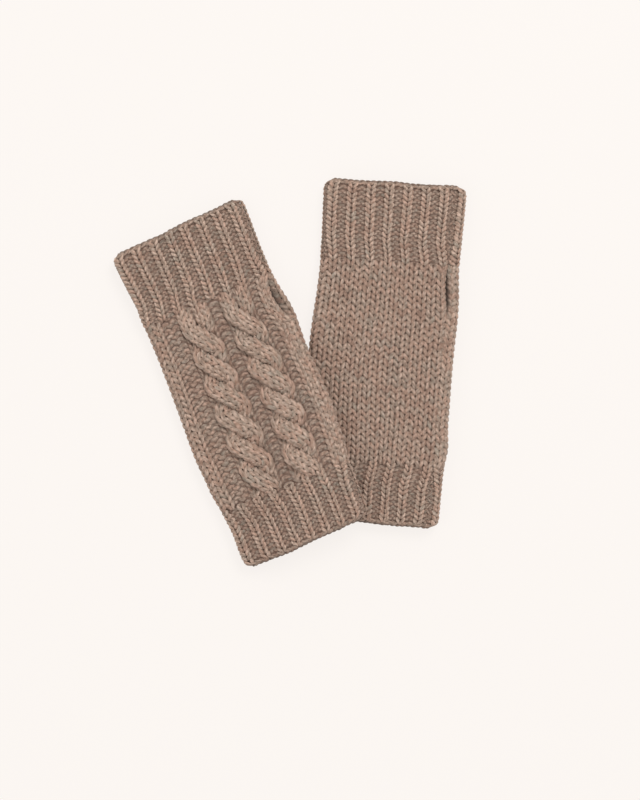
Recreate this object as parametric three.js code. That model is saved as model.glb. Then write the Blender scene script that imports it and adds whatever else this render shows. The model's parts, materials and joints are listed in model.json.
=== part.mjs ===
// A pair of knitted fingerless gloves lying flat. The right glove lies palm up on its cabled back,
// and the left glove lies back up, with its wrist end draped over the right one.
// Millimetres. +X across the pair, +Y towards the finger ends, +Z up from the surface they lie on.
import * as THREE from 'three';

// Driving dimensions of one glove.
const gloveLength = 206;
const fingerRibLength = 48;
const wristRibLength = 36;
const fingerRibWidth = 85;
const wristRibWidth = 82;
const bodyWidth = 89;
const fabric = 3; // one layer of plain knitting
const ribExtra = 0.4; // how far the thicker rib stands out past the plain knitting
const handGap = 5; // the space between the palm and the back
const mouthEdge = 2.5; // length of the bound-off and cast-on edges
const clearance = 0.35;

// The thumb slit and the seam that closes the rest of that side.
const slitInset = 7; // from the thumb-side edge to the slit's middle
const slitLength = 32;
const slitLip = 2.75;

// The two rope cables on the back.
const cableWidth = 21.6;
const cableSpacing = 29;
const cableHeight = 1.8;
const cableEdgeHeight = 0.7;
const cableCrossings = 6;
const cableSlope = 1.1; // how steeply a strand crosses its cable
const cableFlattening = 2.6; // a strand's crown is pressed flat: 1 would leave it round
const cableGap = 0.5;
const cableEnd = 1.5; // plain stitches between a cable and the rib

// How the two gloves lie.
const leftTilt = THREE.MathUtils.degToRad(22.7);
const rightTilt = THREE.MathUtils.degToRad(-4.2);
const leftToRight = new THREE.Vector2(86.2, 19);
const drapeRun = 40; // how far the left glove takes to climb onto the right one
const drapePastEdge = 8; // how far past the right glove's edge the climb ends
const drapeClearance = 0.7;

// Resolution.
const lengthStep = 8;
const arcSegments = 5;
const stepsPerCrossing = 5;
const cableColumns = 4;

// Derived sizes. A glove's own frame: x across, y along from its middle, z from its middle plane.
const halfWidth = bodyWidth / 2;
const halfHeight = fabric + handGap / 2;
const ribHalfHeight = halfHeight + ribExtra;
const wallRadius = (handGap + fabric) / 2; // of the middle of the wall where it turns round the side
const flatHalf = halfWidth - halfHeight; // where the flat faces end
const perimeter = 4 * flatHalf + 2 * Math.PI * wallRadius;
const littleFingerFold = -flatHalf - (Math.PI * wallRadius) / 2;
const fingerMouth = gloveLength / 2;
const wristMouth = -gloveLength / 2;
const fingerRibLine = fingerMouth - fingerRibLength;
const wristRibLine = wristMouth + wristRibLength;
const slitBottom = fingerRibLine - slitLength;
const slitPlace = halfWidth - slitInset;
const cableTop = halfHeight + cableGap + cableHeight;
const rightPlane = cableTop; // height of the right glove's middle plane: it rests on its cables
const leftPlane = ribHalfHeight; // the left glove rests on its ribs
const drapeRise = rightPlane + ribHalfHeight + drapeClearance;

// Columns that the flat faces are divided into, so that a draped face can bend.
const cableKnots = [];
for (let column = 0; column <= cableColumns; column += 1) {
  cableKnots.push((cableSpacing - cableWidth) / 2 + (cableWidth * column) / cableColumns);
}
const outerKnot = (cableKnots[cableColumns] + flatHalf) / 2;
const drapeKnots = [...cableKnots, outerKnot].flatMap((x) => [-x, x]);

const yarnColour = new THREE.Color('#a58d7f');
const ribColour = new THREE.Color('#9a8375');
const cableColour = new THREE.Color('#ad9688');
const seamColour = new THREE.Color('#7f6a5d');

function knitMaterial(colour) {
  return new THREE.MeshStandardMaterial({ color: colour, roughness: 0.95, metalness: 0 });
}

// Width of the glove at a place along it: the ribs pull in and the plain knitting relaxes.
function widthAt(y) {
  const pullIn = 10;
  const along = (y - wristMouth) / gloveLength;
  const ribWidth = THREE.MathUtils.lerp(wristRibWidth, fingerRibWidth, along);
  const pastWrist = THREE.MathUtils.smoothstep(y, wristRibLine - pullIn / 2, wristRibLine + pullIn);
  const pastFingers = THREE.MathUtils.smoothstep(y, fingerRibLine - pullIn, fingerRibLine + pullIn / 2);
  return ribWidth + (bodyWidth - ribWidth) * (pastWrist - pastFingers);
}

// A point of the wall. s runs round the section from the middle of the upper face towards the thumb
// side, and out is measured from the middle of the wall.
function wallPoint(s, out) {
  const arc = Math.PI * wallRadius;
  const t = THREE.MathUtils.euclideanModulo(s + flatHalf, perimeter);
  const radius = wallRadius + out;
  if (t < 2 * flatHalf) return new THREE.Vector2(t - flatHalf, radius);
  if (t < 2 * flatHalf + arc) {
    const angle = (t - 2 * flatHalf) / wallRadius;
    return new THREE.Vector2(flatHalf + radius * Math.sin(angle), radius * Math.cos(angle));
  }
  if (t < 4 * flatHalf + arc) return new THREE.Vector2(3 * flatHalf + arc - t, -radius);
  const angle = (t - 4 * flatHalf - arc) / wallRadius;
  return new THREE.Vector2(-flatHalf - radius * Math.sin(angle), -radius * Math.cos(angle));
}

// The places round the section where the wall has points: the round sides, and the flat faces' columns.
function wallKnots(flatKnots) {
  const arc = Math.PI * wallRadius;
  const knots = [];
  for (let step = 0; step <= arcSegments; step += 1) {
    const turned = (arc * step) / arcSegments;
    knots.push(flatHalf + turned, 3 * flatHalf + arc + turned);
  }
  for (const x of flatKnots) knots.push(x, 2 * flatHalf + arc - x);
  return knots;
}

// The wall's places from s1 to s2, in order.
function wallPlaces(s1, s2, flatKnots) {
  const tooClose = 0.4;
  const places = [s1, s2];
  for (const knot of wallKnots(flatKnots)) {
    for (const turn of [-perimeter, 0, perimeter]) {
      const s = knot + turn;
      if (s > s1 + tooClose && s < s2 - tooClose) places.push(s);
    }
  }
  return places.sort((a, b) => a - b);
}

// A stretch of the wall from place s1 to place s2 round the section and from y = low to y = high along
// the glove: a plain slab whose columns are bent round the section.
function wallGeometry(s1, s2, low, high, flatKnots, extra) {
  const places = wallPlaces(s1, s2, flatKnots);
  const columns = places.length - 1;
  const rows = Math.max(1, Math.round((high - low) / lengthStep));
  const geometry = new THREE.BoxGeometry(columns, 1, 1, columns, 1, rows);
  const position = geometry.attributes.position;
  for (let i = 0; i < position.count; i += 1) {
    const column = Math.round(position.getX(i) + columns / 2);
    const out = position.getY(i) > 0 ? fabric / 2 + extra : -fabric / 2;
    const along = position.getZ(i) + 1 / 2;
    const point = wallPoint(places[column], out);
    position.setXYZ(i, point.x, THREE.MathUtils.lerp(high, low, along), point.y);
  }
  return geometry;
}

// One rope cable: a low bar whose upper side is ridged by the strands that cross it, with flat crowns.
function cableGeometry() {
  const low = wristRibLine + cableEnd;
  const length = fingerRibLine - cableEnd - low;
  const pitch = length / cableCrossings;
  const rows = cableCrossings * stepsPerCrossing;
  const geometry = new THREE.BoxGeometry(cableWidth, length, cableHeight, cableColumns, rows, 1);
  geometry.translate(0, low + length / 2, cableHeight / 2);
  const position = geometry.attributes.position;
  for (let i = 0; i < position.count; i += 1) {
    if (position.getZ(i) < cableHeight / 2) continue;
    const x = position.getX(i);
    const across = Math.cos((Math.PI * x) / cableWidth);
    const strand = Math.abs(Math.sin((Math.PI * (position.getY(i) + cableSlope * x)) / pitch));
    const crown = Math.min(1, cableFlattening * across * strand);
    position.setZ(i, cableEdgeHeight + (cableHeight - cableEdgeHeight) * crown);
  }
  return geometry;
}

// The height that the left glove gains over the right one, by the distance past the right one's edge.
function drapeHeight(pairX, pairY) {
  const fromRight = new THREE.Vector2(pairX, pairY).sub(leftToRight);
  fromRight.rotateAround(new THREE.Vector2(), -rightTilt);
  const pastEdge = fromRight.x + halfWidth;
  return drapeRise * THREE.MathUtils.smoothstep(pastEdge, drapePastEdge - drapeRun, drapePastEdge);
}

// Narrows the ribs, and bends the glove over what it lies on.
function settle(geometry, glove) {
  const position = geometry.attributes.position;
  const place = new THREE.Vector2();
  for (let i = 0; i < position.count; i += 1) {
    const y = position.getY(i);
    const x = (position.getX(i) * widthAt(y)) / bodyWidth;
    place.set(x, y).rotateAround(new THREE.Vector2(), glove.tilt);
    const rise = glove.draped ? drapeHeight(place.x, place.y) : 0;
    position.setXYZ(i, x, y, position.getZ(i) + rise);
  }
  geometry.computeVertexNormals();
  return geometry;
}

// All the pieces of one glove. Its thumb side is at +x, and the slit shows on its upper face.
function makeGlove(glove) {
  const group = new THREE.Group();
  const knots = glove.draped ? drapeKnots : [];
  const half = clearance / 2;
  const bandHalf = glove.slitOpening / 2 + slitLip;
  const bandStart = slitPlace - bandHalf;
  const bandEnd = slitPlace + bandHalf;
  const foldEnd = perimeter + littleFingerFold;

  function addPiece(name, colour, geometry) {
    const piece = new THREE.Mesh(settle(geometry, glove), knitMaterial(colour));
    piece.name = `${glove.hand}_${name}`;
    group.add(piece);
  }

  function addWall(name, colour, s1, s2, low, high, extra = 0) {
    addPiece(name, colour, wallGeometry(s1, s2, low, high, knots, extra));
  }

  function addRibWithSeam(place, low, high) {
    const ribStart = bandEnd + half;
    const ribEnd = perimeter + bandStart - half;
    addWall(`${place}_rib`, ribColour, ribStart, ribEnd, low, high, ribExtra);
    addWall(`${place}_seam`, seamColour, bandStart + half, bandEnd - half, low, high, ribExtra);
  }

  // A bound-off or cast-on edge runs round the mouth from the seam back to the seam.
  function addMouthEdge(name, low, high) {
    addWall(name, seamColour, slitPlace + half, perimeter + slitPlace - half, low, high, ribExtra);
  }

  const bodyLow = wristRibLine + half;
  const bodyHigh = fingerRibLine - half;
  const upperPanel = glove.backUp ? 'back_panel' : 'palm_panel';
  const lowerPanel = glove.backUp ? 'palm_panel' : 'back_panel';
  const upperLip = glove.backUp ? 'slit_edge_back' : 'slit_edge_palm';
  const lowerLip = glove.backUp ? 'slit_edge_palm' : 'slit_edge_back';

  addRibWithSeam('finger', fingerRibLine + half, fingerMouth - mouthEdge - clearance);
  addRibWithSeam('wrist', wristMouth + mouthEdge + clearance, wristRibLine - half);
  addMouthEdge('bind_off_edge', fingerMouth - mouthEdge, fingerMouth);
  addMouthEdge('cast_on_edge', wristMouth, wristMouth + mouthEdge);
  addWall(upperPanel, yarnColour, littleFingerFold + half, bandStart - half, bodyLow, bodyHigh);
  addWall(lowerPanel, yarnColour, bandEnd + half, foldEnd - half, bodyLow, bodyHigh);
  addWall('side_seam', seamColour, bandStart + half, bandEnd - half, bodyLow, slitBottom - half);
  addWall(upperLip, seamColour, bandStart + half, bandStart + slitLip, slitBottom + half, bodyHigh);
  addWall(lowerLip, seamColour, bandEnd - slitLip, bandEnd - half, slitBottom + half, bodyHigh);

  for (const [name, side] of [['cable_little_finger_side', -1], ['cable_thumb_side', 1]]) {
    const cable = cableGeometry();
    if (!glove.backUp) cable.rotateY(Math.PI);
    const outward = glove.backUp ? 1 : -1;
    cable.translate((side * cableSpacing) / 2, 0, outward * (halfHeight + cableGap));
    addPiece(name, cableColour, cable);
  }

  group.rotation.z = glove.tilt;
  group.position.set(glove.place.x, glove.place.y, glove.plane);
  return group;
}

const rightGlove = makeGlove({
  hand: 'right',
  backUp: false,
  draped: false,
  slitOpening: 6.5,
  tilt: rightTilt,
  place: leftToRight,
  plane: rightPlane,
});
const leftGlove = makeGlove({
  hand: 'left',
  backUp: true,
  draped: true,
  slitOpening: 8,
  tilt: leftTilt,
  place: new THREE.Vector2(),
  plane: leftPlane,
});

const gloves = new THREE.Group();
gloves.add(rightGlove, leftGlove);

// The pair's origin is under the middle of its box, on the surface it lies on.
gloves.updateMatrixWorld(true);
const pairBox = new THREE.Box3().setFromObject(gloves, true);
const pairMiddle = pairBox.getCenter(new THREE.Vector3());
gloves.position.set(-pairMiddle.x, -pairMiddle.y, -pairBox.min.z);

export default gloves;
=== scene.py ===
import json
import math
from dataclasses import dataclass

import bpy
import numpy as np
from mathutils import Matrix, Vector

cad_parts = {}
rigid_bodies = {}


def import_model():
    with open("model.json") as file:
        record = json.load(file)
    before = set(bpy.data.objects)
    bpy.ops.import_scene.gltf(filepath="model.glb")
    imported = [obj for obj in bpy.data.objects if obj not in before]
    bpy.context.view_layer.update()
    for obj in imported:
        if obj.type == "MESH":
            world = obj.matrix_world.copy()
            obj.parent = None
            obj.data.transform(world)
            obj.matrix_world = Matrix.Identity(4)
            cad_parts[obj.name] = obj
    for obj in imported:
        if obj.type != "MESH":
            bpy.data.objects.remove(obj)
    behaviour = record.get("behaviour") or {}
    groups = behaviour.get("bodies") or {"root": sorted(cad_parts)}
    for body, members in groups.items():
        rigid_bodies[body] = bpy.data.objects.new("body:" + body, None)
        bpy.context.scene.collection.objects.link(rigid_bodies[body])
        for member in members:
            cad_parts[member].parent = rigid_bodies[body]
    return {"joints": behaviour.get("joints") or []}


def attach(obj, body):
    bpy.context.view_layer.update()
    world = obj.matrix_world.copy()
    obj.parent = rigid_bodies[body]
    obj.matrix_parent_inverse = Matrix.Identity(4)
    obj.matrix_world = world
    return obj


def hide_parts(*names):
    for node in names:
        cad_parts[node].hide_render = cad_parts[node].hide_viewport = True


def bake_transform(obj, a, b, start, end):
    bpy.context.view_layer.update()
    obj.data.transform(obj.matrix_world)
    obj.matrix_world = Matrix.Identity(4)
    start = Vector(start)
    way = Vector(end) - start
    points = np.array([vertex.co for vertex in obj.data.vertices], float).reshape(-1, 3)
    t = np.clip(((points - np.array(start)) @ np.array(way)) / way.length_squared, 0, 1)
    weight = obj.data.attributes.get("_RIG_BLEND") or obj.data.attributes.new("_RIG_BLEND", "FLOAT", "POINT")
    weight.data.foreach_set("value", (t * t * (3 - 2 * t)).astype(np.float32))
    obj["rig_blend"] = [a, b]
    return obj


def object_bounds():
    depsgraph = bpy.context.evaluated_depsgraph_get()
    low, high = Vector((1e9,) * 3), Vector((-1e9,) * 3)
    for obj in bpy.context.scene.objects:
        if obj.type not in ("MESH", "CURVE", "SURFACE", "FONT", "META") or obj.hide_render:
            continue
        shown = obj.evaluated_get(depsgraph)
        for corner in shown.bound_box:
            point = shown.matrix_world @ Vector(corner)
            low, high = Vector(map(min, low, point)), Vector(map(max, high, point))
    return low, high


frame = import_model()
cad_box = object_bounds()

# A pair of knitted fingerless gloves, built stitch by stitch. Every course of knitting is one tube of
# yarn that loops from the seam round its glove and back to it, cut in two where the back meets the
# palm, and the rope cables are built of loops that follow their strands. Lengths are in metres, and
# MM turns millimetres into them.
MM = 0.001

# ---------- sizes ----------

# The flat tube that each glove is: half the length round it is one face.
WALL_RADIUS = 4 * MM
FLAT_HALF = 39 * MM
PERIMETER = 4 * FLAT_HALF + 2 * math.pi * WALL_RADIUS
FACE = PERIMETER / 2

# Places along a glove, from its middle towards the fingers.
FINGER_MOUTH = 103 * MM
FINGER_RIB_LINE = 55 * MM
SLIT_BOTTOM = 23 * MM
SLIT_MIDDLE = (SLIT_BOTTOM + FINGER_RIB_LINE) / 2
WRIST_RIB_LINE = -67 * MM
WRIST_MOUTH = -103 * MM
GLOVE_LENGTH = FINGER_MOUTH - WRIST_MOUTH

# Widths. Between the ribs a glove swells by BELLY, which begins these lengths inside the ribs. Its
# corners at the mouths are rounded over the length CORNER.
BODY_WIDTH = 89 * MM
FINGER_RIB_WIDTH = 85.5 * MM
WRIST_RIB_WIDTH = 82 * MM
BELLY = 5.5 * MM
BELLY_IN_WRIST_RIB = 8 * MM
BELLY_IN_FINGER_RIB = 6 * MM
CORNER = 5.5 * MM
CORNER_TURN = 1.2 * CORNER

# How the outline differs from an even one: its wave, in radians a metre, where each swelling lies
# along the glove and how far it reaches, the stretches from the middle out over which each comes to
# its full size, and how late the flare comes towards each mouth.
EDGE_WAVE = 0.7 * MM
EDGE_WAVE_RATE = 38
SWAY_MIDDLE, SWAY_REACH = -12 * MM, 34 * MM
SLIT_BULGE_MIDDLE, SLIT_BULGE_REACH = 31 * MM, 19 * MM
WRIST_BULGE_MIDDLE, WRIST_BULGE_REACH = WRIST_RIB_LINE + 11 * MM, 9 * MM
WAVE_ACROSS = (0, 40 * MM)
SLIT_BULGE_ACROSS = (25 * MM, 43 * MM)
WRIST_BULGE_ACROSS = (22 * MM, 43 * MM)
FLARE_ACROSS = (10 * MM, 42 * MM)
FINGER_FLARE_POWER = 2
WRIST_FLARE_POWER = 8

# How the knitting wavers: its amounts round the glove, out of the wall and along the glove, and the
# waves that make it, each with its count round the glove, its radians a metre along it and its share.
ROUND_WAVER = 0.5 * MM
OUT_WAVER = 0.3 * MM
ALONG_WAVER = 0.5 * MM
WAVES = [(3, 31, 1.0), (5, -57, 1.0), (2, 95, 0.7)]

# How far round the glove the opening of the thumb slit's lips fades out, and how pointed it is.
LIP_SPREAD = 9 * MM
SLIT_POWER = 0.7

# How the left glove lies over the right one: where the right one's middle is from its own, how that
# is tilted, and the slope up onto it. The right one's ribs sag a little towards the floor.
LEFT_TO_RIGHT = np.array([86.2, 19]) * MM
RIGHT_TILT = math.radians(-4.2)
DRAPE_RUN = 40 * MM
DRAPE_PAST_EDGE = 8 * MM
DRAPE_RISE = 14.7 * MM
RIB_SAG = 0.8 * MM
SAG_RUN = 26 * MM

# Courses of knitting, the ribs' repeats round the glove, the share of a repeat that is knit, and the
# length over which the ribs' columns flow into the body's.
BODY_COURSES = 31
FINGER_COURSES = 16
WRIST_COURSES = 12
RIB_PERIODS = 16
RIB_KNIT_SHARE = 0.58
RIB_FLOW = 15 * MM

# The back's columns of stitches, from the little-finger side: what each is, and where it ends,
# measured from the middle of the back. Knit columns follow up to the seam.
BACK_START = -FACE / 2
BACK_COLUMNS = [
    ("knit", -39.8 * MM),
    ("knit", -34.3 * MM),
    ("purl", -28.8 * MM),
    ("purl", -23.1 * MM),
    ("cable", -1.2 * MM),
    ("purl", 6.1 * MM),
    ("cable", 27.4 * MM),
    ("purl", 33.5 * MM),
]
CABLE_WALES = 4
THUMB_WALE = 5.2 * MM
BODY_WALES = 2 * RIB_PERIODS

# The rope cables: the middle of each on the back, the length from one crossing to the next, how far a
# strand swings, with a third wave this much weaker, how wide each of its two columns is, and how much
# lower its sides lie. Each begins and ends flat, and at the fingers it keeps a little of its height.
CABLES = {"little_finger": -12.15 * MM, "thumb": 16.75 * MM}
CABLE_PITCH = 18.65 * MM
FIRST_CROSSING = 34.3 * MM
CABLE_TOP = FIRST_CROSSING + 0.42 * CABLE_PITCH
STRAND_SWING = 5.6 * MM
STRAND_WALE = 5.4 * MM
STRAND_CROWN = 1.9 * MM
THIRD_WAVE = 18
CABLE_START = 7 * MM
CABLE_END = 13 * MM
CABLE_FADE = 0.85

# The height of a cable's strands and their rise over each other, on a back that lies up or down.
CABLE_UP = (2.1 * MM, 2.3 * MM)
CABLE_DOWN = (0.5 * MM, 1.2 * MM)

# Yarn: its radius, how flat it lies, what is left of its radius where it passes behind, and how many
# sides and steps its tubes have. NEXT_RUN draws the numbers that place the pattern on each tube.
YARN = 1.28 * MM
RIB_YARN = 1.10 * MM
CABLE_YARN = 1.05 * YARN
SLIT_YARN = 0.8 * YARN
CHAIN_YARN = 0.95 * MM
SEWING_YARN = 0.7 * MM
YARN_FLATNESS = 0.8
YARN_BEHIND = 0.84
SIDES = 8
STITCH_STEPS = 14
NEXT_RUN = np.random.default_rng(7)

# How uneven the stitches are: shares of their height, lean and fullness, and lengths for loose loops.
TALL_UNEVEN = 0.05
LEAN_UNEVEN = 0.10
PLUMP_UNEVEN = 0.05
CABLE_PLUMP_UNEVEN = 0.04
CABLE_LOOP_UNEVEN = 0.12 * MM
CHAIN_LOOP_UNEVEN = 0.08 * MM

# How far inside a mouth its pieces end.
CHAIN_INSET = 0.6 * MM
FABRIC_INSET = 1 * MM
RIB_INSET = 1.2 * MM
SEAM_INSET = 2 * MM

# The thin wall inside the knitting: its thickness, how far it is sunk, its columns round the glove, its
# rows' spacing and the gap it leaves along the thumb slit.
CORE_THICKNESS = 0.5 * MM
CORE_SUNK = 0.25 * MM
CORE_COLUMNS = 96
CORE_ROW = 3 * MM
SLIT_GAP = 0.2 * MM

# The length past a rib line over which a turned-up cuff bends.
CUFF_BEND = 25 * MM


@dataclass
class Knitting:
    """How a stretch of knitting is worked, by the kind of its columns where they differ."""
    yarn: float  # radius of the yarn
    rise: float  # how far a loop reaches up and down from the middle of its course
    lean: float  # how far its two sides bow out, as a share of its column's width
    purl_plump: float  # how full the yarn is in the purl columns
    bend: dict  # how far a loop bends out of the wall and back into it
    height: dict  # how high the column stands


BODY_KNITTING = Knitting(
    yarn=YARN,
    rise=3.0 * MM,
    lean=0.235,
    purl_plump=1.08,
    bend={"knit": 0.85 * MM, "purl": 0.6 * MM},
    height={"knit": 0.1 * MM, "purl": -0.5 * MM, "cable": -0.9 * MM},
)
RIB_KNITTING = Knitting(
    yarn=RIB_YARN,
    rise=2.2 * MM,
    lean=0.23,
    purl_plump=0.97,
    bend={"knit": 0.8 * MM, "purl": 0.9 * MM},
    height={"knit": 0.8 * MM, "purl": -1.1 * MM},
)


# ---------- small helpers ----------

def smoothstep(x, low, high):
    t = np.clip((x - low) / (high - low), 0, 1)
    return t * t * (3 - 2 * t)


def hump(y, middle, reach):
    """A smooth rise and fall round middle, from 0 to 1 and back."""
    return np.exp(-((y - middle) / reach) ** 2)


def unit(vectors):
    return vectors / np.maximum(np.linalg.norm(vectors, axis=-1, keepdims=True), 1e-12)


def turn(x, y, angle):
    return x * math.cos(angle) - y * math.sin(angle), x * math.sin(angle) + y * math.cos(angle)


def past_rib_line(y):
    """How far past the nearer rib line a place lies, and below zero between the two."""
    return np.maximum(y - FINGER_RIB_LINE, WRIST_RIB_LINE - y)


def near_mouth(y):
    return smoothstep(np.abs(y), 0, FINGER_MOUTH)


def find_joint(name):
    return next(joint for joint in frame["joints"] if joint["name"] == name)


def section(s, out):
    """A place of the even tube's section: s runs round it from the middle of the upper face towards
    the thumb side, and out is measured from the middle of the wall."""
    arc = math.pi * WALL_RADIUS
    t = np.mod(s + FLAT_HALF, PERIMETER)
    radius = WALL_RADIUS + out
    thumb_turn = (t - 2 * FLAT_HALF) / WALL_RADIUS
    fold_turn = (t - 4 * FLAT_HALF - arc) / WALL_RADIUS
    where = [t < 2 * FLAT_HALF, t < 2 * FLAT_HALF + arc, t < 4 * FLAT_HALF + arc]
    x = np.select(
        where,
        [t - FLAT_HALF, FLAT_HALF + radius * np.sin(thumb_turn), 3 * FLAT_HALF + arc - t],
        -FLAT_HALF - radius * np.sin(fold_turn),
    )
    z = np.select(where, [radius, radius * np.cos(thumb_turn), -radius], -radius * np.cos(fold_turn))
    return x, z


@dataclass
class Shape:
    """How one glove lies, and how it differs from an even, straight tube."""
    plane: float  # height of the middle of its section over the floor
    seam: float  # where the seam runs, from the middle of the upper face towards the thumb side
    near_lip: float  # how far the thumb slit's upper lip is drawn back from the seam
    far_lip: float  # how far its lower lip follows
    slant: float  # how much further both go at the finger end of the slit, and less at the other
    tuck: float  # how far the lower lip is tucked in under the upper one
    tuck_from: float  # the share of the lip's spread from which it is tucked
    rib_period: float  # width of a rib and its groove on the upper face
    widest: float  # the place along it where it is widest
    shift: float  # how far all of it lies towards the thumb side
    sway: float  # how much further its middle does
    finger_skew: float  # slope of the finger mouth
    wrist_skew: float  # slope of the wrist mouth
    flare: float  # how far the mouths spread on the little-finger side
    slit_bulge: float  # how far the thumb side swells beside the slit
    wrist_bulge: float  # how far both sides swell above the wrist rib


class Glove:
    """One glove. A place on it is (u, y, out): u runs round it from the seam over the upper face, the
    little-finger fold and the lower face back to the seam, y runs along it towards the fingers, and out
    is measured from the middle of its wall."""

    def __init__(self, side, shape, seed):
        joint = find_joint(f"{side}_finger_cuff_fold")
        self.side = side
        self.shape = shape
        self.back_up = side == "left"
        self.tilt = math.atan2(joint["axis"][1], joint["axis"][0])
        line_x, line_y = turn(0, FINGER_RIB_LINE, self.tilt)
        self.centre = (joint["pos_m"][0] - line_x, joint["pos_m"][1] - line_y)
        self.fold = shape.seam + FACE / 2
        self.back_middle = shape.seam if self.back_up else shape.seam + FACE
        self.towards_thumb = -1 if self.back_up else 1
        self.random = np.random.default_rng(seed)
        self.phases = self.random.uniform(0, 2 * math.pi, (4, 3))
        self.body_edges, self.body_kinds = self.columns()

    def columns(self):
        """Where each column of the body's stitches begins and ends round the glove, and what it is."""
        edges, kinds, last = [], [], BACK_START
        seam_from_middle = self.shape.seam if self.back_up else FACE - self.shape.seam
        thumb_wales = round((seam_from_middle - BACK_COLUMNS[-1][1]) / THUMB_WALE)
        wales = {"knit": 1, "purl": 1, "cable": CABLE_WALES, "thumb": thumb_wales}
        for kind, end in BACK_COLUMNS + [("thumb", seam_from_middle)]:
            for k in range(wales[kind]):
                edges.append(last + (end - last) * k / wales[kind])
                kinds.append("knit" if kind == "thumb" else kind)
            last = end
        edges.append(seam_from_middle)
        palm_wales = BODY_WALES - len(kinds)
        palm = np.linspace(0, PERIMETER - (seam_from_middle - BACK_START), palm_wales + 1)
        u = [self.back_middle + self.towards_thumb * g for g in edges]
        if self.back_up:
            u = u[::-1]
            return np.array(u + list(u[-1] + palm[1:])), kinds[::-1] + ["knit"] * palm_wales
        return np.array(list(palm) + u[1:]), ["knit"] * palm_wales + kinds

    def rib_edges(self, y):
        """Where each column of the ribs begins and ends. Near the rib line they flow into the body's:
        the half columns at the seam narrow to nothing, and the back's last two run into one."""
        middle = RIB_PERIODS / 2
        upper = self.shape.rib_period
        lower = (PERIMETER - middle * upper) / middle
        half = RIB_KNIT_SHARE / 2
        knit_edges = [k + 0.5 + d for k in range(RIB_PERIODS) for d in (-half, half)]
        q = np.array([0] + knit_edges + [RIB_PERIODS])
        even = np.where(q < middle, q * upper, middle * upper + (q - middle) * lower)
        beside_seam = 1 if self.back_up else -2
        body = np.concatenate([[0], np.delete(self.body_edges, beside_seam), [PERIMETER]])
        flow = 1 - smoothstep(past_rib_line(y), 0, RIB_FLOW)
        return even + (body - even) * flow

    def width_at(self, y):
        """Width of the glove at a place along it: the ribs pull in and the plain knitting relaxes."""
        along = (y - WRIST_MOUTH) / GLOVE_LENGTH
        rib_width = WRIST_RIB_WIDTH + (FINGER_RIB_WIDTH - WRIST_RIB_WIDTH) * along
        widest = self.shape.widest
        past_wrist = smoothstep(y, WRIST_RIB_LINE - BELLY_IN_WRIST_RIB, widest)
        past_fingers = smoothstep(y, widest, FINGER_RIB_LINE + BELLY_IN_FINGER_RIB)
        width = rib_width + BELLY * (past_wrist - past_fingers)
        from_mouth = np.clip(FINGER_MOUTH - np.abs(y), 0, CORNER)
        turned = 1 - np.sqrt(np.clip(1 - ((CORNER - from_mouth) / CORNER) ** 2, 0, 1))
        return width - CORNER_TURN * turned

    def waver(self, u, y, row):
        """A gentle unevenness, the same for every piece of the glove. Each row gives another one."""
        turns = 2 * math.pi * u / PERIMETER
        total = 0
        for (count, rate, share), phase in zip(WAVES, self.phases[row]):
            total = total + share * np.sin(count * turns + rate * y + phase)
        return total / sum(share for _, _, share in WAVES)

    def slit_share(self, y):
        """How far the thumb slit stands open at a place along the glove."""
        t = np.clip((y - SLIT_BOTTOM) / (FINGER_RIB_LINE - SLIT_BOTTOM), 0, 1)
        return np.sin(math.pi * t) ** SLIT_POWER

    def tuck_in(self, points):
        """The thumb slit's far lip lies a little under its near one."""
        u, y, out = points[..., 0], points[..., 1], points[..., 2]
        far = np.exp(-np.abs(PERIMETER - u) / LIP_SPREAD)
        tucked = self.slit_share(y) * self.shape.tuck * smoothstep(far, self.shape.tuck_from, 1.0)
        return np.stack([u, y, out - tucked], axis=-1)

    def drawn_open(self, u, y):
        """Where a place round the glove comes to lie when the thumb slit opens."""
        near = np.exp(-np.abs(u) / LIP_SPREAD)
        far = np.exp(-np.abs(PERIMETER - u) / LIP_SPREAD)
        slanted = self.shape.slant * (y - SLIT_MIDDLE) / (FINGER_RIB_LINE - SLIT_MIDDLE)
        drawn = (self.shape.near_lip + slanted) * near + (self.shape.far_lip + slanted) * far
        return u + self.slit_share(y) * drawn

    def outline(self, x, y):
        """Where a place across the even tube comes to lie across the real glove."""
        shape = self.shape
        x = x * self.width_at(y) / BODY_WIDTH
        wave = EDGE_WAVE * np.sin(EDGE_WAVE_RATE * y + self.phases[3, 0])
        x = x + wave * np.sign(x) * smoothstep(np.abs(x), *WAVE_ACROSS)
        x = x + shape.shift + shape.sway * hump(y, SWAY_MIDDLE, SWAY_REACH)
        by_slit = hump(y, SLIT_BULGE_MIDDLE, SLIT_BULGE_REACH)
        x = x + shape.slit_bulge * by_slit * smoothstep(x, *SLIT_BULGE_ACROSS)
        above_wrist = hump(y, WRIST_BULGE_MIDDLE, WRIST_BULGE_REACH)
        x = x + shape.wrist_bulge * np.sign(x) * above_wrist * smoothstep(np.abs(x), *WRIST_BULGE_ACROSS)
        flared = shape.flare * near_mouth(y) ** np.where(y > 0, FINGER_FLARE_POWER, WRIST_FLARE_POWER)
        return x - flared * smoothstep(-x, *FLARE_ACROSS)

    def raised(self, pair_x, pair_y, y):
        """How far a place is raised by the glove under it, or sags where it lies on the floor."""
        if self.back_up:
            from_right, _ = turn(pair_x - LEFT_TO_RIGHT[0], pair_y - LEFT_TO_RIGHT[1], -RIGHT_TILT)
            past_edge = from_right + BODY_WIDTH / 2
            return DRAPE_RISE * smoothstep(past_edge, DRAPE_PAST_EDGE - DRAPE_RUN, DRAPE_PAST_EDGE)
        return -RIB_SAG * smoothstep(past_rib_line(y), -SAG_RUN / 3, SAG_RUN)

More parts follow.
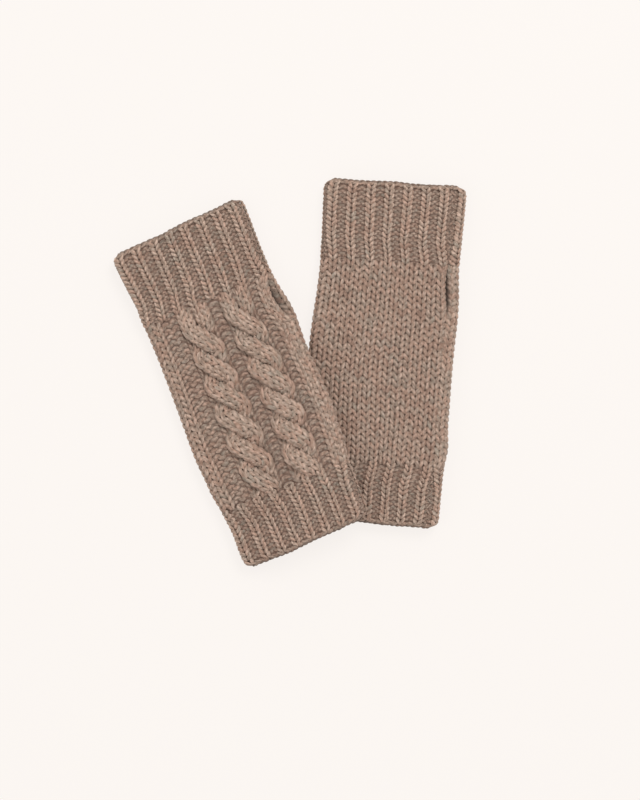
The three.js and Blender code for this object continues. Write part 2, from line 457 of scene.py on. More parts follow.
    def place(self, points):
        """The places in the shared frame of points given as (u, y, out)."""
        u, y, out = points[..., 0], points[..., 1], points[..., 2]
        s = self.shape.seam - self.drawn_open(u, y) + ROUND_WAVER * self.waver(u, y, 0)
        x, z = section(s, out + OUT_WAVER * self.waver(u, y, 1))
        x = self.outline(x, y)
        skew = np.where(y > 0, self.shape.finger_skew, self.shape.wrist_skew)
        y = y + ALONG_WAVER * self.waver(u, y, 2) + skew * x * near_mouth(y)
        pair_x, pair_y = turn(x, y, self.tilt)
        z = self.shape.plane + z + self.raised(pair_x, pair_y, y)
        return np.stack([self.centre[0] + pair_x, self.centre[1] + pair_y, z], axis=-1)


# ---------- tubes of yarn ----------

def sweep(paths, radius):
    """Rings of points round paths, an array of (run, point, 3), and the length along each path."""
    tangent = unit(np.gradient(paths, axis=1))
    side = unit(np.cross(tangent, [0.0, 0.0, 1.0]))
    up = np.cross(side, tangent)
    angle = 2 * math.pi * np.arange(SIDES) / SIDES
    radius = np.broadcast_to(radius, paths.shape[:2])[..., None, None]
    rings = (paths[:, :, None, :] + radius * np.cos(angle)[:, None] * side[:, :, None, :]
             + radius * YARN_FLATNESS * np.sin(angle)[:, None] * up[:, :, None, :])
    steps = np.linalg.norm(np.diff(paths, axis=1), axis=-1)
    along = np.concatenate([np.zeros((len(paths), 1)), np.cumsum(steps, axis=1)], axis=1)
    return rings, along


def tube_faces(runs, steps):
    """The four-sided faces of every tube, and the three-sided ones that close its ends."""
    base = (np.arange(runs) * (steps * SIDES + 2))[:, None, None]
    row = (np.arange(steps - 1) * SIDES)[None, :, None]
    here = np.arange(SIDES)[None, None, :]
    after = (here + 1) % SIDES
    quads = np.stack([base + row + here, base + row + after,
                      base + row + SIDES + after, base + row + SIDES + here], axis=-1).reshape(-1, 4)
    start = base[:, :, 0]
    end = start + (steps - 1) * SIDES
    start_middle = np.broadcast_to(start + steps * SIDES, (runs, SIDES))
    here, after = here[0], after[0]
    first = np.stack([start + after, start + here, start_middle], axis=-1)
    last = np.stack([end + here, end + after, start_middle + 1], axis=-1)
    triangles = np.concatenate([first.reshape(-1, 3), last.reshape(-1, 3)])
    return quads, triangles


def volume(points, quads, triangles):
    """The volume that the faces close off, below zero where they look inwards."""
    fans = np.concatenate([quads[:, :3], quads[:, [0, 2, 3]], triangles])
    a, b, c = points[fans[:, 0]], points[fans[:, 1]], points[fans[:, 2]]
    return np.sum(a * np.cross(b, c)) / 6


def make_object(name, points, quads, triangles=None):
    """A smooth-shaded mesh object of those points and faces."""
    triangles = np.zeros((0, 3), int) if triangles is None else triangles
    mesh = bpy.data.meshes.new(name)
    corners = np.concatenate([quads.ravel(), triangles.ravel()]).astype(np.int32)
    starts = np.concatenate([np.arange(len(quads)) * 4, quads.size + np.arange(len(triangles)) * 3])
    mesh.vertices.add(len(points))
    mesh.vertices.foreach_set("co", points.astype(np.float32).ravel())
    mesh.loops.add(len(corners))
    mesh.loops.foreach_set("vertex_index", corners)
    mesh.polygons.add(len(starts))
    mesh.polygons.foreach_set("loop_start", starts.astype(np.int32))
    mesh.polygons.foreach_set("use_smooth", np.ones(len(starts), bool))
    mesh.update(calc_edges=True)
    mesh.validate()
    piece = bpy.data.objects.new(name, mesh)
    bpy.context.scene.collection.objects.link(piece)
    return piece


def yarn_tubes(glove, paths, radius, warp):
    """The points and faces of a batch of tubes, and each point's values for the yarn's material."""
    rings, along = sweep(paths, radius)
    runs, steps = paths.shape[:2]
    size = steps * SIDES + 2
    points = np.concatenate([rings.reshape(runs, steps * SIDES, 3), paths[:, [0, -1]]], axis=1)
    warped = glove.tuck_in(warp(points))
    points = glove.place(warped).reshape(-1, 3)
    quads, triangles = tube_faces(runs, steps)
    if volume(points, quads, triangles) < 0:
        quads, triangles = quads[:, ::-1], triangles[:, ::-1]
    angle = 2 * math.pi * np.arange(SIDES) / SIDES
    along = along + NEXT_RUN.uniform(0, 8, (runs, 1))
    yarn = np.zeros((runs, size, 3))
    yarn[:, :-2, 0] = np.tile(np.cos(angle), steps)
    yarn[:, :-2, 1] = np.tile(np.sin(angle), steps)
    yarn[:, :-2, 2] = np.repeat(along, SIDES, axis=1)
    yarn[:, -2:, 2] = along[:, [0, -1]]
    run = np.repeat(NEXT_RUN.uniform(0, 60, (runs, 1)), size, axis=1)
    # The material paints shade and highlight from this depth. It takes in the lip's tuck and a cable's rise
    # and crown, so the tucked lip and the cables' sides are painted darker.
    depth = warped[..., 2] / MM
    return points, quads, triangles, yarn.reshape(-1, 3), run.reshape(-1), depth.reshape(-1)


def yarn_object(glove, name, batches, material):
    """One piece of yarn tubes. Each batch is (paths, radius, warp), where warp bends the tubes' points
    into the glove's own (u, y, out) places. The material reads three values of each point: yarn, its
    place round and along its tube; run, its tube's own number; and depth, its out in millimetres."""
    tubes = [yarn_tubes(glove, *batch) for batch in batches]
    points, quads, triangles, yarn, run, depth = zip(*tubes)
    starts = np.cumsum([0] + [len(batch_points) for batch_points in points[:-1]])
    piece = make_object(name, np.concatenate(points),
                        np.concatenate([faces + start for faces, start in zip(quads, starts)]),
                        np.concatenate([faces + start for faces, start in zip(triangles, starts)]))
    attributes = piece.data.attributes
    attributes.new("yarn", "FLOAT_VECTOR", "POINT").data.foreach_set(
        "vector", np.concatenate(yarn).astype(np.float32).ravel())
    for attribute, values in (("run", run), ("depth", depth)):
        attributes.new(attribute, "FLOAT", "POINT").data.foreach_set(
            "value", np.concatenate(values).astype(np.float32))
    piece.data.materials.append(material)
    return piece


def straight(points):
    """The warp of tubes whose paths are in the glove's own places already."""
    return points


# ---------- stitches ----------

def along_row(values):
    """Values given for each stitch, blended smoothly from the middle of one stitch to the next."""
    wales = values.shape[1]
    at = np.arange(wales * STITCH_STEPS + 1) / STITCH_STEPS - 0.5
    low = np.clip(np.floor(at).astype(int), 0, wales - 1)
    high = np.clip(low + 1, 0, wales - 1)
    t = smoothstep(at - np.floor(at), 0, 1)
    t = np.where(at < 0, 0, t)
    return values[:, low] * (1 - t) + values[:, high] * t


def uneven(glove, count, wales, amount):
    """Factors near 1 along each course, random from one stitch to the next."""
    return 1 + along_row(glove.random.normal(0, amount, (count, wales)))


def course_rows(low, high, count):
    """The heights of the middles of count courses from low to high."""
    step = (high - low) / count
    return low + step * (np.arange(count) + 0.5)


def courses(glove, rows, edges, kinds, knitting):
    """The yarn of each course at the heights in rows. edges has a line of column edges for each
    course, and kinds says what each column is. A purl column's loops bend the other way."""
    count, wales = len(rows), len(kinds)
    signs = np.array([-1.0 if kind == "purl" else 1.0 for kind in kinds])
    heights = np.array([[knitting.height[kind] for kind in kinds]])
    position = np.arange(wales * STITCH_STEPS + 1) / STITCH_STEPS
    wale = np.minimum(position.astype(int), wales - 1)
    t = position - wale
    width = np.diff(edges, axis=1)
    tall = uneven(glove, count, wales, TALL_UNEVEN)
    skew = uneven(glove, count, wales, LEAN_UNEVEN)
    plump = uneven(glove, count, wales, PLUMP_UNEVEN)

    border = 0.16
    to_before = np.concatenate([signs[:1], signs[:-1]])[wale] - signs[wale]
    to_after = np.concatenate([signs[1:], signs[-1:]])[wale] - signs[wale]
    near_start = 0.5 * (1 - smoothstep(t, 0, border))
    near_end = 0.5 * smoothstep(t, 1 - border, 1)
    sign = signs[wale] + to_before * near_start + to_after * near_end

    u = edges[:, wale] + width[:, wale] * (t + knitting.lean * skew * np.sin(4 * math.pi * t))
    y = rows[:, None] - knitting.rise * tall * np.cos(2 * math.pi * t)
    bend = np.where(sign < 0, knitting.bend["purl"], knitting.bend["knit"])
    turned = sign * np.cos(4 * math.pi * t)
    out = np.broadcast_to(along_row(heights)[0] - bend * turned, u.shape)
    in_front = 0.5 - 0.5 * turned
    fullness = np.where(sign < 0, 1 + (1 - knitting.purl_plump) * sign, 1)
    radius = knitting.yarn * plump * (YARN_BEHIND + (1 - YARN_BEHIND) * in_front) * fullness
    return np.stack([u, y, out], axis=-1), radius


def body_courses(glove):
    rows = course_rows(WRIST_RIB_LINE, FINGER_RIB_LINE, BODY_COURSES)
    edges = np.tile(glove.body_edges, (len(rows), 1))
    return courses(glove, rows, edges, glove.body_kinds, BODY_KNITTING)


def rib_courses(glove, low, high, count):
    rows = course_rows(low, high, count)
    edges = np.array([glove.rib_edges(y) for y in rows])
    kinds = ["purl" if k % 2 == 0 else "knit" for k in range(2 * RIB_PERIODS + 1)]
    return courses(glove, rows, edges, kinds, RIB_KNITTING)


def stretch_of(paths, radius, start, end):
    """The stretch of every course from column start to column end."""
    cut = slice(start * STITCH_STEPS, end * STITCH_STEPS + 1)
    return paths[:, cut], radius[:, cut]


def loops(heights, offsets, width, rise, lean, bend):
    """Separate knit loops, one for each of offsets at each of heights, in a strand's own places."""
    t = np.arange(STITCH_STEPS + 1) / STITCH_STEPS
    across = width * (t - 0.5 + lean * np.sin(4 * math.pi * t))
    along = -rise * np.cos(2 * math.pi * t)
    out = -bend * np.cos(4 * math.pi * t)
    return np.array([np.stack([offset + across, height + along, out], axis=-1)
                     for offset in offsets for height in heights])


# ---------- materials ----------

def srgb(red, green, blue):
    """A colour given as it looks on the screen, from 0 to 255, as a shader takes it."""
    def linear(v):
        v = v / 255
        return v / 12.92 if v <= 0.04045 else ((v + 0.055) / 1.055) ** 2.4
    return (linear(red), linear(green), linear(blue), 1)


class Nodes:
    """A material's node tree, with short ways to add to it."""

    def __init__(self, name):
        self.material = bpy.data.materials.new(name)
        self.material.use_nodes = True
        self.tree = self.material.node_tree
        self.shader = self.tree.nodes["Principled BSDF"]

    def add(self, kind, **settings):
        node = self.tree.nodes.new(kind)
        for key, value in settings.items():
            setattr(node, key, value)
        return node

    def put(self, source, socket):
        """Links an output to a socket, or sets the socket to a plain value."""
        if hasattr(source, "is_output"):
            self.tree.links.new(source, socket)
        else:
            socket.default_value = source

    def attribute(self, name, output="Fac"):
        return self.add("ShaderNodeAttribute", attribute_name=name).outputs[output]

    def math(self, operation, a, b=None, c=None):
        node = self.add("ShaderNodeMath", operation=operation)
        for socket, value in zip(node.inputs, (a, b, c)):
            if value is not None:
                self.put(value, socket)
        return node.outputs[0]

    def vector(self, x, y, z):
        node = self.add("ShaderNodeCombineXYZ")
        for socket, value in zip(node.inputs, (x, y, z)):
            self.put(value, socket)
        return node.outputs[0]

    def grey(self, value):
        node = self.add("ShaderNodeCombineColor")
        for socket in node.inputs:
            self.put(value, socket)
        return node.outputs[0]

    def noise(self, vector, scale, detail=2.0, roughness=0.5):
        node = self.add("ShaderNodeTexNoise")
        self.put(vector, node.inputs["Vector"])
        node.inputs["Scale"].default_value = scale
        node.inputs["Detail"].default_value = detail
        node.inputs["Roughness"].default_value = roughness
        return node.outputs["Fac"]

    def ramp(self, value, stops):
        node = self.add("ShaderNodeValToRGB")
        elements = node.color_ramp.elements
        while len(elements) < len(stops):
            elements.new(0.5)
        for element, (at, colour) in zip(elements, stops):
            element.position = at
            element.color = colour
        self.put(value, node.inputs[0])
        return node.outputs[0]

    def map_range(self, value, low, high, to_low, to_high):
        node = self.add("ShaderNodeMapRange", interpolation_type="SMOOTHSTEP")
        for socket, setting in zip(node.inputs, (value, low, high, to_low, to_high)):
            self.put(setting, socket)
        return node.outputs[0]

    def mix(self, factor, a, b, blend="MIX"):
        node = self.add("ShaderNodeMix", data_type="RGBA", blend_type=blend)
        self.put(factor, node.inputs[0])
        self.put(a, node.inputs[6])
        self.put(b, node.inputs[7])
        return node.outputs[2]

    def bump(self, height, strength, distance):
        node = self.add("ShaderNodeBump")
        node.inputs["Strength"].default_value = strength
        node.inputs["Distance"].default_value = distance
        self.put(height, node.inputs["Height"])
        self.put(node.outputs[0], self.shader.inputs["Normal"])

    def set_shader(self, **values):
        """Sets the shader's own sockets: specular_ior_level=0.1 sets its Specular IOR Level."""
        sockets = {socket.name.lower().replace(" ", "_"): socket for socket in self.shader.inputs}
        for key, value in values.items():
            sockets[key].default_value = value


# The heathered yarn's colours, as they look on the screen, and where each lies in the patches' noise.
HEATHER = [
    (0.30, (168, 155, 143)),
    (0.42, (172, 152, 139)),
    (0.50, (182, 160, 146)),
    (0.58, (178, 150, 135)),
    (0.72, (158, 133, 120)),
]
MARL = [(0.36, (176, 166, 158)), (0.50, (222, 219, 214)), (0.64, (255, 255, 255))]
MARL_STRENGTH = 0.75
# The inside wall's felt colours: dark, as painted shade for the gaps between the loops.
FELT_IN_PAINTED_SHADE = [(0.35, (100, 82, 72)), (0.65, (132, 109, 98))]

# The yarn's pattern: the length from one ply to the next, how often a metre each noise changes, and
# how finely the fibres divide the yarn round.
PLY_LENGTH = 7 * MM
PATCH_RATE = 34.0
FIBRE_RATE = 520.0
FIBRES_ROUND = 3.4
MARL_RATE = 700.0
FELT_RATE = 900.0

# What the plies and the fibres add to the patches, the shade, the roughness and the relief. The fibres vary
# the yarn's tone at random; the plies add painted shade, darker in the groove between them.
PLY_PATCH = 0.10
BASE_SHADE, PLY_GROOVE_PAINTED_SHADE, FIBRE_SHADE = 0.30, 0.26, 1.10
BASE_ROUGHNESS, FIBRE_ROUGHNESS = 0.78, 0.2
PLY_RELIEF, FIBRE_RELIEF = 0.6, 0.9

# Painted shade and highlight by a point's depth in millimetres: the colour is painted darker down between
# the loops, where shade falls, and painted lighter on top of them, where the light falls.
DEEP, HIGH = -1.6, 2.0
TOP_PAINTED_HIGHLIGHT = 1.20


def toned(stops, tone=1.0):
    return [(at, srgb(*(channel * tone for channel in colour))) for at, colour in stops]


def yarn_material(name, tone=1.0, pinkness=0.0, deepest_painted_shade=0.34):
    """Soft heathered yarn: two plies twisted together, patches of colour along it, and fine fibres, with
    painted shade in the plies' groove and down between the loops, and painted highlight on top of the loops.
    """
    n = Nodes(name)
    split = n.add("ShaderNodeSeparateXYZ")
    n.put(n.attribute("yarn", "Vector"), split.inputs[0])
    cosine, sine, along = split.outputs
    run = n.attribute("run")
    angle = n.math("ARCTAN2", sine, cosine)
    twist = n.math("MULTIPLY_ADD", along, 2 * math.pi / PLY_LENGTH, n.math("MULTIPLY", angle, 2.0))
    ply = n.math("MULTIPLY_ADD", n.math("SINE", twist), 0.5, 0.5)

    patches = n.noise(n.vector(n.math("MULTIPLY", along, PATCH_RATE), run, 0.0), 1.0, 3.0, 0.6)
    patches = n.math("ADD", patches, n.math("MULTIPLY_ADD", ply, PLY_PATCH, pinkness - PLY_PATCH / 2))
    colour = n.ramp(patches, toned(HEATHER, tone))
    marl_place = n.vector(n.math("MULTIPLY", along, MARL_RATE), cosine, n.math("ADD", sine, run))
    marl = n.ramp(n.noise(marl_place, 1.0, 2.0), toned(MARL))
    colour = n.mix(MARL_STRENGTH, colour, marl, "MULTIPLY")

    fibre_place = n.vector(n.math("MULTIPLY", along, FIBRE_RATE), n.math("MULTIPLY", cosine, FIBRES_ROUND),
                           n.math("MULTIPLY_ADD", sine, FIBRES_ROUND, run))
    fibres = n.noise(fibre_place, 1.0, 4.0, 0.7)
    shade = n.math("MULTIPLY_ADD", fibres, FIBRE_SHADE, BASE_SHADE)
    # Painted shade: darker in the groove between the two plies.
    shade = n.math("MULTIPLY_ADD", ply, PLY_GROOVE_PAINTED_SHADE, shade)
    # Painted shade and highlight: the colour is darkened down between the loops and lightened on top of
    # them, by depth.
    shade = n.math("MULTIPLY", shade, n.map_range(n.attribute("depth"), DEEP, HIGH, deepest_painted_shade, TOP_PAINTED_HIGHLIGHT))
    n.put(n.mix(1.0, colour, n.grey(shade), "MULTIPLY"), n.shader.inputs["Base Color"])
    roughness = n.math("MULTIPLY_ADD", fibres, FIBRE_ROUGHNESS, BASE_ROUGHNESS)
    n.put(roughness, n.shader.inputs["Roughness"])
    relief = n.math("MULTIPLY_ADD", ply, PLY_RELIEF, n.math("MULTIPLY", fibres, FIBRE_RELIEF))
    n.bump(relief, strength=0.55, distance=0.35 * MM)
    n.set_shader(specular_ior_level=0.18, sheen_weight=0.35, sheen_roughness=0.55,
                 sheen_tint=srgb(228, 208, 196))
    return n.material


def core_material(name):
    """The felted inside of the fabric, seen only in the gaps between the loops, coloured dark as painted
    shade for those gaps.
    """
    n = Nodes(name)
    felt = n.noise(n.add("ShaderNodeTexCoord").outputs["Object"], FELT_RATE, 4.0, 0.7)
    n.put(n.ramp(felt, toned(FELT_IN_PAINTED_SHADE)), n.shader.inputs["Base Color"])
    n.put(n.math("MULTIPLY_ADD", felt, 0.1, 0.88), n.shader.inputs["Roughness"])
    n.bump(felt, strength=0.4, distance=0.3 * MM)
    n.set_shader(specular_ior_level=0.1)
    return n.material


MATERIALS = {
    "back_knit": yarn_material("back_knit", 0.96, -0.01),
    "palm_knit": yarn_material("palm_knit", 0.94, 0.02),
    "rib_knit": yarn_material("rib_knit", 0.985, -0.01),
    # The cables' painted shade down between their loops is lighter than the other yarns'.
    "cable_knit": yarn_material("cable_knit", 0.97, -0.02, deepest_painted_shade=0.48),
    "edge_yarn": yarn_material("edge_yarn", 0.98),
    "seam_yarn": yarn_material("seam_yarn", 0.9),
    "core": core_material("fabric_core"),
}


# ---------- the pieces of a glove ----------

def knit_piece(glove, name, paths, radius, material):
    """A piece of whole courses."""
    return yarn_object(glove, f"{glove.side}_{name}", [(paths, radius, straight)], MATERIALS[material])


def strand_place(glove, centre, strand, base, lift):
    """How a cable's strand bends its points: it swings from side to side and passes over the other
    strand once in every two crossings."""
    def warp(points):
        a, y, out = points[..., 0], points[..., 1], points[..., 2]
        crossings = (np.minimum(y, CABLE_TOP) - FIRST_CROSSING) / CABLE_PITCH
        phase = math.pi * crossings + math.pi / 2 + strand * math.pi
        swing = STRAND_SWING * (np.cos(phase) + np.cos(3 * phase) / THIRD_WAVE)
        turning = np.sin(phase) + 3 * np.sin(3 * phase) / THIRD_WAVE
        slope = -STRAND_SWING * turning * math.pi / CABLE_PITCH
        slope = np.where(y < CABLE_TOP, slope, 0)
        length = np.sqrt(1 + slope ** 2)
        crown = STRAND_CROWN * (a / STRAND_WALE) ** 2
        from_wrist = smoothstep(y, WRIST_RIB_LINE, WRIST_RIB_LINE + CABLE_START)
        to_fingers = smoothstep(y, FINGER_RIB_LINE - CABLE_END, FINGER_RIB_LINE)
        rise = (base + lift * np.sin(phase)) * np.minimum(from_wrist, 1 - CABLE_FADE * to_fingers)
        u = glove.back_middle + glove.towards_thumb * (centre + swing + a / length)
        return np.stack([u, y - a * slope / length, rise + out - crown], axis=-1)

    return warp


def cable(glove, name, centre):
    """A rope cable of two strands, each two columns wide. It stands higher on a back that lies up."""
    heights = course_rows(WRIST_RIB_LINE, FINGER_RIB_LINE, BODY_COURSES)
    base, lift = CABLE_UP if glove.back_up else CABLE_DOWN
    columns = (-STRAND_WALE / 2, STRAND_WALE / 2)
    batches = []
    for strand in (0, 1):
        paths = loops(heights, columns, width=STRAND_WALE, rise=2.9 * MM, lean=0.225, bend=0.75 * MM)
        paths = paths + glove.random.normal(0, CABLE_LOOP_UNEVEN, (len(paths), 1, 3))
        radius = CABLE_YARN * (1 + glove.random.normal(0, CABLE_PLUMP_UNEVEN, (len(paths), 1)))
        warp = strand_place(glove, centre, strand, base, lift)
        batches.append((paths, np.repeat(radius, paths.shape[1], axis=1), warp))
    return yarn_object(glove, name, batches, MATERIALS["cable_knit"])


def edge_chain(glove, name, y, outward):
    """The chain of loops along a mouth: it lies over the edge, half to the outside."""
    count = 3 * RIB_PERIODS
    pitch = PERIMETER / count
    middles = (np.arange(count) + 0.5) * pitch
    paths = loops(middles, (0.0,), width=3.2 * MM, rise=0.62 * pitch, lean=0.2, bend=0.4 * MM)
    paths = paths + glove.random.normal(0, CHAIN_LOOP_UNEVEN, (len(paths), 1, 3))
    tipped = math.radians(52)
    sunk = 0.7 * MM

    def warp(points):
        a, b, out = points[..., 0], points[..., 1], points[..., 2]
        beyond, height = turn(out, a, tipped)
        return np.stack([np.clip(b, 0, PERIMETER), y + outward * beyond, height - sunk], axis=-1)

    return yarn_object(glove, name, [(paths, CHAIN_YARN, warp)], MATERIALS["edge_yarn"])


def seam_yarn(glove, name, low, high):
    """The sewing yarn that draws the two edges together, back and forth down in the valley."""
    pitch = 3.6 * MM
    reach = 1.5 * MM
    height = 0.2 * MM
    dip = 0.5 * MM
    steps = int((high - low) / pitch) * 8
    y = low + (high - low) * np.linspace(0, 1, steps + 1)
    swing = reach * np.sin(math.pi * (y - low) / pitch)
    out = height + dip * np.cos(2 * math.pi * (y - low) / pitch)
    path = np.stack([swing, y, out], axis=-1)[None]
    return yarn_object(glove, name, [(path, SEWING_YARN, straight)], MATERIALS["seam_yarn"])


def slit_edges(glove, name):
    """The chain stitches along the two edges of the thumb slit."""
    count = 9
    pitch = (FINGER_RIB_LINE - SLIT_BOTTOM) / count
    heights = SLIT_BOTTOM + (np.arange(count) + 0.5) * pitch
    paths = loops(heights, (0.0,), width=3.0 * MM, rise=0.7 * pitch, lean=0.2, bend=0.6 * MM)
    inset = 1.3 * MM
    sunk = 0.1 * MM
    batches = []
    for middle in (inset, PERIMETER - inset):
        offset = np.array([middle, 0, -sunk])
        batches.append((paths, SLIT_YARN, lambda points, offset=offset: points + offset))
    return yarn_object(glove, name, batches, MATERIALS["edge_yarn"])


def core_faces(rows):
    """The faces of a wall that has two layers of points, the outer one first, in rows round a glove.
    It goes right round, except along the thumb slit, where its two sides are closed."""
    across = CORE_COLUMNS + 1
    size = across * len(rows)

    def index(row, column, layer):
        return layer * size + row * across + column % across

    quads = []
    for row in range(len(rows) - 1):
        slit = SLIT_BOTTOM < (rows[row] + rows[row + 1]) / 2 < FINGER_RIB_LINE
        for column in range(CORE_COLUMNS if slit else across):
            for layer in (0, 1):
                face = [index(row, column, layer), index(row, column + 1, layer),
                        index(row + 1, column + 1, layer), index(row + 1, column, layer)]
                quads.append(face if layer else face[::-1])
        for column in (0, CORE_COLUMNS) if slit else ():
            face = [index(row, column, 0), index(row, column, 1),
                    index(row + 1, column, 1), index(row + 1, column, 0)]
            quads.append(face if column else face[::-1])
    for row in (0, len(rows) - 1):
        for column in range(across):
            face = [index(row, column, 0), index(row, column + 1, 0),
                    index(row, column + 1, 1), index(row, column, 1)]
            quads.append(face[::-1] if row else face)
    return np.array(quads)


def fabric_core(glove, name, low, high):
    """The middle of the fabric as one thin wall round the glove, open along the thumb slit."""
    rows = np.linspace(low, high, int(round((high - low) / CORE_ROW)) + 1)
    u, y = np.meshgrid(np.linspace(SLIT_GAP, PERIMETER - SLIT_GAP, CORE_COLUMNS + 1), rows)
    layers = []
    for level in (CORE_THICKNESS / 2, -CORE_THICKNESS / 2):
        grid = np.stack([u, y, np.full_like(u, level - CORE_SUNK)], axis=-1)
        layers.append(glove.place(glove.tuck_in(grid)).reshape(-1, 3))
    piece = make_object(name, np.concatenate(layers), core_faces(rows))
    piece.data.materials.append(MATERIALS["core"])
    return piece


# ---------- the gloves ----------

def cuff_bend(glove, joint_name, outward):
    """The bodies that a cuff's fold joins, and the stretch over which the fabric bends."""
    joint = find_joint(joint_name)
    start = np.array(joint["pos_m"])
    x, y = turn(0, outward * CUFF_BEND, glove.tilt)
    return joint["parent"], joint["child"], tuple(start), tuple(start + np.array([x, y, 0]))


def settle_piece(piece, body=None, bend=None, replaces=()):
    """Says what a finished piece rides on, or over what stretch it bends, and hides the parts it stands for.
    """
    if bend:
        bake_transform(piece, *bend)
    else:
        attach(piece, body)
    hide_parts(*replaces)
    return piece


def build_hand(glove, body):
    """The back, the palm, the seam below the thumb slit, the slit's edges and the two cables."""
    side = glove.side
    fold_column = int(np.argmin(np.abs(glove.body_edges - glove.fold)))
    paths, radius = body_courses(glove)
    upper = stretch_of(paths, radius, 0, fold_column)
    lower = stretch_of(paths, radius, fold_column, len(glove.body_kinds))
    back, palm = (upper, lower) if glove.back_up else (lower, upper)
    back_knit = knit_piece(glove, "back_knit", *back, "back_knit")
    palm_knit = knit_piece(glove, "palm_knit", *palm, "palm_knit")
    side_seam = seam_yarn(glove, f"{side}_side_seam_yarn", WRIST_RIB_LINE, SLIT_BOTTOM + 2 * MM)
    chains = slit_edges(glove, f"{side}_slit_chains")
    pieces = [
        settle_piece(back_knit, body, replaces=[f"{side}_back_panel"]),
        settle_piece(palm_knit, body, replaces=[f"{side}_palm_panel"]),
        settle_piece(side_seam, body, replaces=[f"{side}_side_seam"]),
        settle_piece(chains, body,
                     replaces=[f"{side}_slit_edge_back", f"{side}_slit_edge_palm"]),
    ]
    for cable_side, centre in CABLES.items():
        rope = cable(glove, f"{side}_{cable_side}_rope", centre)
        pieces.append(settle_piece(rope, body, replaces=[f"{side}_cable_{cable_side}_side"]))
    return pieces


def build_end(glove, end, edge, rib_line, mouth, count, body, bend):
    """The rib, the seam and the mouth's chain of one end of a glove."""
    side = glove.side
    outward = 1 if mouth > rib_line else -1
    rib_ends = sorted((rib_line, mouth - outward * RIB_INSET))
    seam_ends = sorted((rib_line, mouth - outward * SEAM_INSET))
    rib = knit_piece(glove, f"{end}_rib_knit", *rib_courses(glove, *rib_ends, count), "rib_knit")
    seam = seam_yarn(glove, f"{side}_{end}_seam_yarn", *seam_ends)
    chain = edge_chain(glove, f"{side}_{edge}_chain", mouth - outward * CHAIN_INSET, outward)
    return [
        settle_piece(rib, body, bend, [f"{side}_{end}_rib"]),
        settle_piece(seam, body, bend, [f"{side}_{end}_seam"]),
        settle_piece(chain, body, bend, [f"{side}_{edge}_edge"]),
    ]


def build_fabric(glove, name, low, high, body, bend):
    """One stretch of the knitted cloth's thin inner wall, kept a little inside the mouths."""
    inner_low = max(low, WRIST_MOUTH + FABRIC_INSET)
    inner_high = min(high, FINGER_MOUTH - FABRIC_INSET)
    core = fabric_core(glove, f"{glove.side}_{name}_fabric", inner_low, inner_high)
    settle_piece(core, body, bend)


def build_glove(glove):
    """All of one glove. Only the left one's wrist cuff turns up: the right one's lies under it."""
    hand = f"{glove.side}_hand"
    finger_bend = cuff_bend(glove, f"{glove.side}_finger_cuff_fold", 1)
    wrist_bend = cuff_bend(glove, "left_wrist_cuff_fold", -1) if glove.side == "left" else None
    hand_pieces = build_hand(glove, hand)
    finger_pieces = build_end(glove, "finger", "bind_off", FINGER_RIB_LINE, FINGER_MOUTH, FINGER_COURSES,
                              None, finger_bend)
    wrist_pieces = build_end(glove, "wrist", "cast_on", WRIST_RIB_LINE, WRIST_MOUTH, WRIST_COURSES,
                             hand, wrist_bend)
    build_fabric(glove, "finger_cuff", FINGER_RIB_LINE, FINGER_MOUTH,
                 None, finger_bend)
    if wrist_bend:
        build_fabric(glove, "hand", WRIST_RIB_LINE, FINGER_RIB_LINE, hand, None)
        build_fabric(glove, "wrist_cuff", WRIST_MOUTH, WRIST_RIB_LINE,
                     None, wrist_bend)
    else:
        build_fabric(glove, "hand", WRIST_MOUTH, FINGER_RIB_LINE,
                     hand, None)


# ---------- the stage ----------

# The picture's height shows this length of the plane at this height over the floor. The pair stands a
# little to the left of the picture's middle and above it.
SEEN_LENGTH = 487.2 * MM
SEEN_PLANE = 8 * MM
CAMERA_ASIDE = (18.6 * MM, -16.7 * MM)
LENS = 85
SENSOR = 36
FLOOR_HALF = 3.0
FLOOR_BELOW = 0.2 * MM
FLOOR_SHADE = 0.12


def middle_of_pair():
    return (cad_box[0] + cad_box[1]) / 2


def make_floor():
    """A plain pale floor that shines by itself, so that it takes only a faint shadow."""
    corners = FLOOR_HALF * np.array([(-1, -1, 0), (1, -1, 0), (1, 1, 0), (-1, 1, 0)], float)
    corners[:, 2] = cad_box[0].z - FLOOR_BELOW
    floor = make_object("floor", corners, np.array([[0, 1, 2, 3]]))
    n = Nodes("floor")
    n.set_shader(base_color=srgb(240, 236, 232), roughness=0.9, specular_ior_level=0.1)
    glow = n.add("ShaderNodeEmission")
    glow.inputs["Color"].default_value = srgb(252, 247, 243)
    glow.inputs["Strength"].default_value = 1.0
    blend = n.add("ShaderNodeMixShader")
    blend.inputs[0].default_value = FLOOR_SHADE
    n.put(glow.outputs[0], blend.inputs[1])
    n.put(n.shader.outputs[0], blend.inputs[2])
    n.put(blend.outputs[0], n.tree.nodes["Material Output"].inputs[0])
    floor.data.materials.append(n.material)


def make_world(strength):
    world = bpy.data.worlds.new("studio")
    bpy.context.scene.world = world
    world.use_nodes = True
    background = world.node_tree.nodes["Background"]
    background.inputs[0].default_value = srgb(252, 248, 245)
    background.inputs[1].default_value = strength


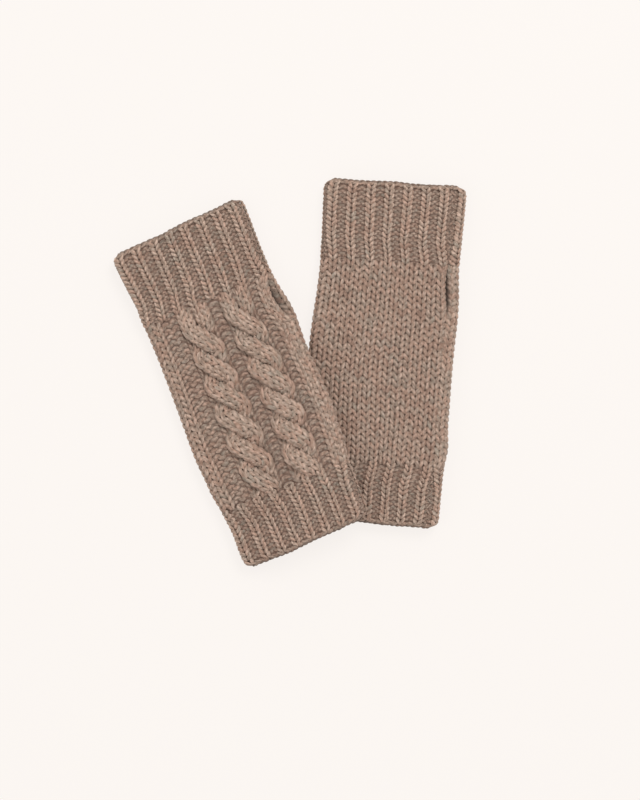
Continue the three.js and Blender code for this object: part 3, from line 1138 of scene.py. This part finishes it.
def make_light(name, place, size, power):
    """A round soft light at place that looks at the pair."""
    data = bpy.data.lights.new(name, "AREA")
    data.shape = "DISK"
    data.size = size
    data.energy = power
    data.color = (1.0, 0.985, 0.965)
    light = bpy.data.objects.new(name, data)
    light.location = place
    bpy.context.scene.collection.objects.link(light)
    light.rotation_mode = "QUATERNION"
    light.rotation_quaternion = (middle_of_pair() - light.location).to_track_quat("-Z", "Y")


def make_camera():
    """A camera that looks straight down on the pair."""
    data = bpy.data.cameras.new("camera")
    data.lens = LENS
    data.sensor_width = SENSOR
    data.clip_start = 0.05
    data.clip_end = 20
    camera = bpy.data.objects.new("camera", data)
    middle = middle_of_pair()
    camera.location = (middle.x + CAMERA_ASIDE[0], middle.y + CAMERA_ASIDE[1],
                       SEEN_LENGTH * LENS / SENSOR + SEEN_PLANE)
    bpy.context.scene.collection.objects.link(camera)
    bpy.context.scene.camera = camera


bpy.context.scene.view_settings.view_transform = "Standard"
make_camera()
make_floor()
make_world(0.65)
make_light("key", place=(0.45, 0.75, 1.3), size=0.8, power=13)
make_light("fill", place=(-0.9, -0.3, 1.2), size=1.2, power=4)

right_shape = Shape(
    plane=7.8 * MM,
    seam=37 * MM,
    near_lip=1.5 * MM,
    far_lip=0.3 * MM,
    slant=0.9 * MM,
    tuck=3.0 * MM,
    tuck_from=0.72,
    rib_period=11.5 * MM,
    widest=0,
    shift=-0.8 * MM,
    sway=-1.0 * MM,
    finger_skew=0.012,
    wrist_skew=-0.02,
    flare=0.0,
    slit_bulge=1.4 * MM,
    wrist_bulge=1.4 * MM,
)
left_shape = Shape(
    plane=6.7 * MM,
    seam=42 * MM,
    near_lip=4.8 * MM,
    far_lip=4.5 * MM,
    slant=0.0,
    tuck=2.3 * MM,
    tuck_from=0.5,
    rib_period=10.9 * MM,
    widest=-28 * MM,
    shift=0.2 * MM,
    sway=0.9 * MM,
    finger_skew=0.045,
    wrist_skew=0.032,
    flare=2.0 * MM,
    slit_bulge=3.2 * MM,
    wrist_bulge=0.8 * MM,
)
build_glove(Glove("right", right_shape, seed=11))
build_glove(Glove("left", left_shape, seed=23))
